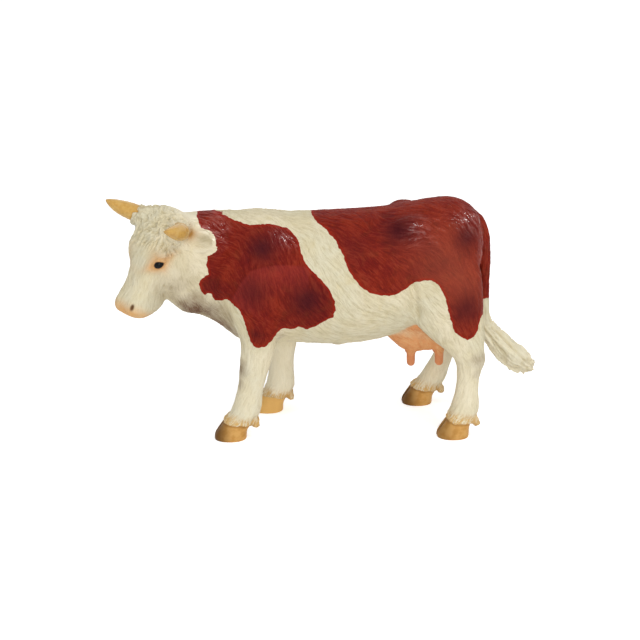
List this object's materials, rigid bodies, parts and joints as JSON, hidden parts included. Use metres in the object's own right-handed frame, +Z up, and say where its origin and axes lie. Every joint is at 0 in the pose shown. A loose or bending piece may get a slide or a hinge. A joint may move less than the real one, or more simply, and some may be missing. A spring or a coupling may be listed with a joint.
{
  "type": "toy farm animal figure",
  "caption": "Solid moulded toy cow standing on four hooves, head turned to its left, with forward horns, leaf-shaped ears, udder and tail.",
  "frame": {"origin": "on the ground plane, under the middle of the figure's box", "axes": "-X is ahead of the cow, -Y is its left side, +Z is up"},
  "size_m": [0.1365, 0.0455, 0.0778],
  "materials": {
    "body_vinyl": "satin",
    "horn_vinyl": "satin",
    "udder_vinyl": "satin"
  },
  "bodies": {
    "root": {"trunk": "body_vinyl", "head": "body_vinyl", "front_leg_left": "body_vinyl", "front_leg_right": "body_vinyl", "hind_leg_left": "body_vinyl", "hind_leg_right": "body_vinyl", "horn_left": "horn_vinyl", "horn_right": "horn_vinyl", "ear_left": "body_vinyl", "ear_right": "body_vinyl", "tail": "body_vinyl", "udder": "udder_vinyl"}
  },
  "joints": []
}
